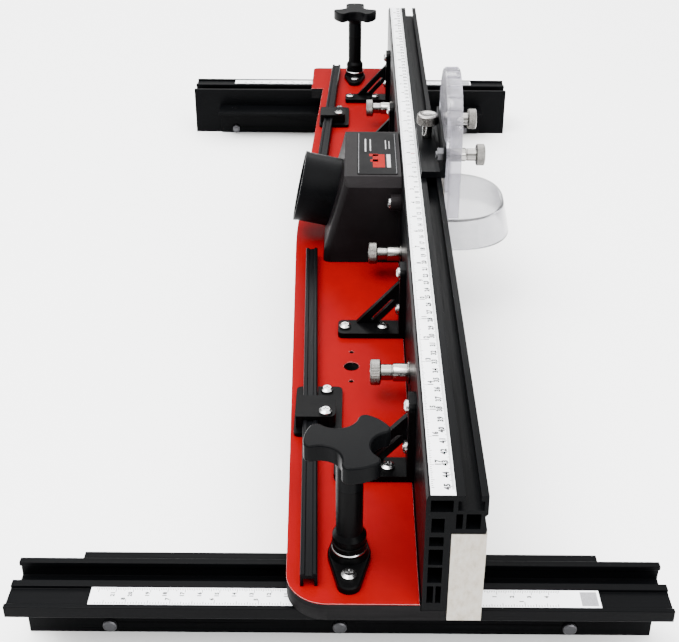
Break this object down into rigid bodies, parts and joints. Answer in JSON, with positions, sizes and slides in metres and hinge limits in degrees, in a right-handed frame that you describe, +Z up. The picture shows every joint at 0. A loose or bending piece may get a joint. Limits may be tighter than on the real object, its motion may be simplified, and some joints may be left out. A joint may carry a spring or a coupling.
{
  "type": "router table fence",
  "caption": "Split router table fence on a base plate that slides on two side rails, with sliding wooden faces, a dust box with round port and a clear bit guard.",
  "frame": {"origin": "under the middle of the whole part, level with the bottom edges of the side rails", "axes": "+X along the fence to the end with the plate's ear, +Y away from the operator towards the dust port, +Z up; the table top is at Z = 0.055 m"},
  "size_m": [0.9148, 0.382, 0.2213],
  "materials": {
    "anodised_black": "satin",
    "plate_core": "matte",
    "red_laminate": "semi_gloss",
    "black_plastic": "matte",
    "smoked_clear": "gloss",
    "nickel": "polished",
    "stainless": "satin",
    "dark_steel": "satin",
    "maple": "satin",
    "rule_tape": "satin",
    "label": "satin"
  },
  "bodies": {
    "rails": {"left_rail": "anodised_black", "right_rail": "anodised_black", "left_rail_tape": "rule_tape", "right_rail_tape": "rule_tape", "left_table_angle": "anodised_black", "right_table_angle": "anodised_black", "angle_bolts": "stainless", "angle_nuts": "stainless"},
    "carriage": {"base_plate": "plate_core", "base_plate_laminate": "red_laminate", "fence_beam": "anodised_black", "fence_tape": "rule_tape", "left_inner_gusset": "black_plastic", "left_outer_gusset": "black_plastic", "right_inner_gusset": "black_plastic", "right_outer_gusset": "black_plastic", "gusset_screws": "stainless", "left_track": "anodised_black", "right_track": "anodised_black", "left_track_clip": "black_plastic", "right_track_clip": "black_plastic", "clip_screws": "stainless", "dust_box": "black_plastic", "dust_port": "black_plastic", "dust_box_screws": "stainless", "dust_box_label": "label", "left_lock_base": "black_plastic", "right_lock_base": "black_plastic", "left_lock_sleeve": "black_plastic", "right_lock_sleeve": "black_plastic", "lock_base_screws": "stainless", "lock_washers": "stainless"},
    "left_lock": {"left_lock_knob": "black_plastic", "left_lock_stud": "dark_steel"},
    "right_lock": {"right_lock_knob": "black_plastic", "right_lock_stud": "dark_steel"},
    "left_nut": {"left_lock_nut": "dark_steel"},
    "right_nut": {"right_lock_nut": "dark_steel"},
    "left_sub_fence": {"left_face": "maple", "left_face_bolts": "stainless"},
    "right_sub_fence": {"right_face": "maple", "right_face_bolts": "stainless"},
    "guard_mount": {"guard_bracket": "anodised_black", "guard_studs": "stainless", "guard_stud_nuts": "stainless"},
    "guard_thumb": {"guard_thumbscrew": "nickel"},
    "guard_nut": {"guard_slide_nut": "dark_steel"},
    "shield": {"guard_shield": "smoked_clear", "guard_hood": "smoked_clear"},
    "left_shield_knob": {"left_guard_knob": "nickel"},
    "right_shield_knob": {"right_guard_knob": "nickel"},
    "left_inner_knob": {"left_inner_face_knob": "nickel"},
    "left_outer_knob": {"left_outer_face_knob": "nickel"},
    "right_inner_knob": {"right_inner_face_knob": "nickel"},
    "right_outer_knob": {"right_outer_face_knob": "nickel"}
  },
  "joints": [
    {"name": "fence_slide", "type": "slide", "parent": "rails", "child": "carriage", "axis": [0, 1, 0], "range_m": [-0.15, 0.14]},
    {"name": "left_lock_turn", "type": "hinge", "parent": "carriage", "child": "left_lock", "pos_m": [-0.4205, -0.0056, 0.145], "axis": [0, 0, 1], "range_deg": [0, 720]},
    {"name": "left_nut_drop", "type": "slide", "parent": "carriage", "child": "left_nut", "axis": [0, 0, -1], "range_m": [0, 0.00252]},
    {"name": "right_lock_turn", "type": "hinge", "parent": "carriage", "child": "right_lock", "pos_m": [0.4205, -0.0056, 0.145], "axis": [0, 0, 1], "range_deg": [0, 720]},
    {"name": "right_nut_drop", "type": "slide", "parent": "carriage", "child": "right_nut", "axis": [0, 0, -1], "range_m": [0, 0.00252]},
    {"name": "left_face_slide", "type": "slide", "parent": "carriage", "child": "left_sub_fence", "axis": [1, 0, 0], "range_m": [-0.03, 0.012]},
    {"name": "right_face_slide", "type": "slide", "parent": "carriage", "child": "right_sub_fence", "axis": [1, 0, 0], "range_m": [-0.012, 0.03]},
    {"name": "left_inner_knob_turn", "type": "hinge", "parent": "left_sub_fence", "child": "left_inner_knob", "pos_m": [-0.081, -0.023, 0.089], "axis": [0, 1, 0], "range_deg": [0, 360]},
    {"name": "left_outer_knob_turn", "type": "hinge", "parent": "left_sub_fence", "child": "left_outer_knob", "pos_m": [-0.259, -0.023, 0.089], "axis": [0, 1, 0], "range_deg": [0, 360]},
    {"name": "right_inner_knob_turn", "type": "hinge", "parent": "right_sub_fence", "child": "right_inner_knob", "pos_m": [0.081, -0.023, 0.089], "axis": [0, 1, 0], "range_deg": [0, 360]},
    {"name": "right_outer_knob_turn", "type": "hinge", "parent": "right_sub_fence", "child": "right_outer_knob", "pos_m": [0.259, -0.023, 0.089], "axis": [0, 1, 0], "range_deg": [0, 360]},
    {"name": "guard_slide", "type": "slide", "parent": "carriage", "child": "guard_mount", "axis": [1, 0, 0], "range_m": [-0.38, 0.38]},
    {"name": "guard_thumb_turn", "type": "hinge", "parent": "guard_mount", "child": "guard_thumb", "pos_m": [0.025, -0.0709, 0.163], "axis": [0, 0, 1], "range_deg": [0, 720]},
    {"name": "guard_nut_drop", "type": "slide", "parent": "guard_mount", "child": "guard_nut", "axis": [0, 0, -1], "range_m": [0, 0.00202]},
    {"name": "shield_lift", "type": "slide", "parent": "guard_mount", "child": "shield", "axis": [0, 0, 1], "range_m": [-0.012, 0.03]},
    {"name": "left_shield_knob_turn", "type": "hinge", "parent": "guard_mount", "child": "left_shield_knob", "pos_m": [-0.041, -0.106, 0.1615], "axis": [0, -1, 0], "range_deg": [0, 360]},
    {"name": "right_shield_knob_turn", "type": "hinge", "parent": "guard_mount", "child": "right_shield_knob", "pos_m": [0.041, -0.106, 0.1615], "axis": [0, -1, 0], "range_deg": [0, 360]}
  ],
  "couplings": [
    {"joint": "left_nut_drop", "follows": "left_lock_turn", "m_per_rad": 0.00019894},
    {"joint": "right_nut_drop", "follows": "right_lock_turn", "m_per_rad": 0.00019894},
    {"joint": "guard_nut_drop", "follows": "guard_thumb_turn", "m_per_rad": 0.00015915}
  ]
}
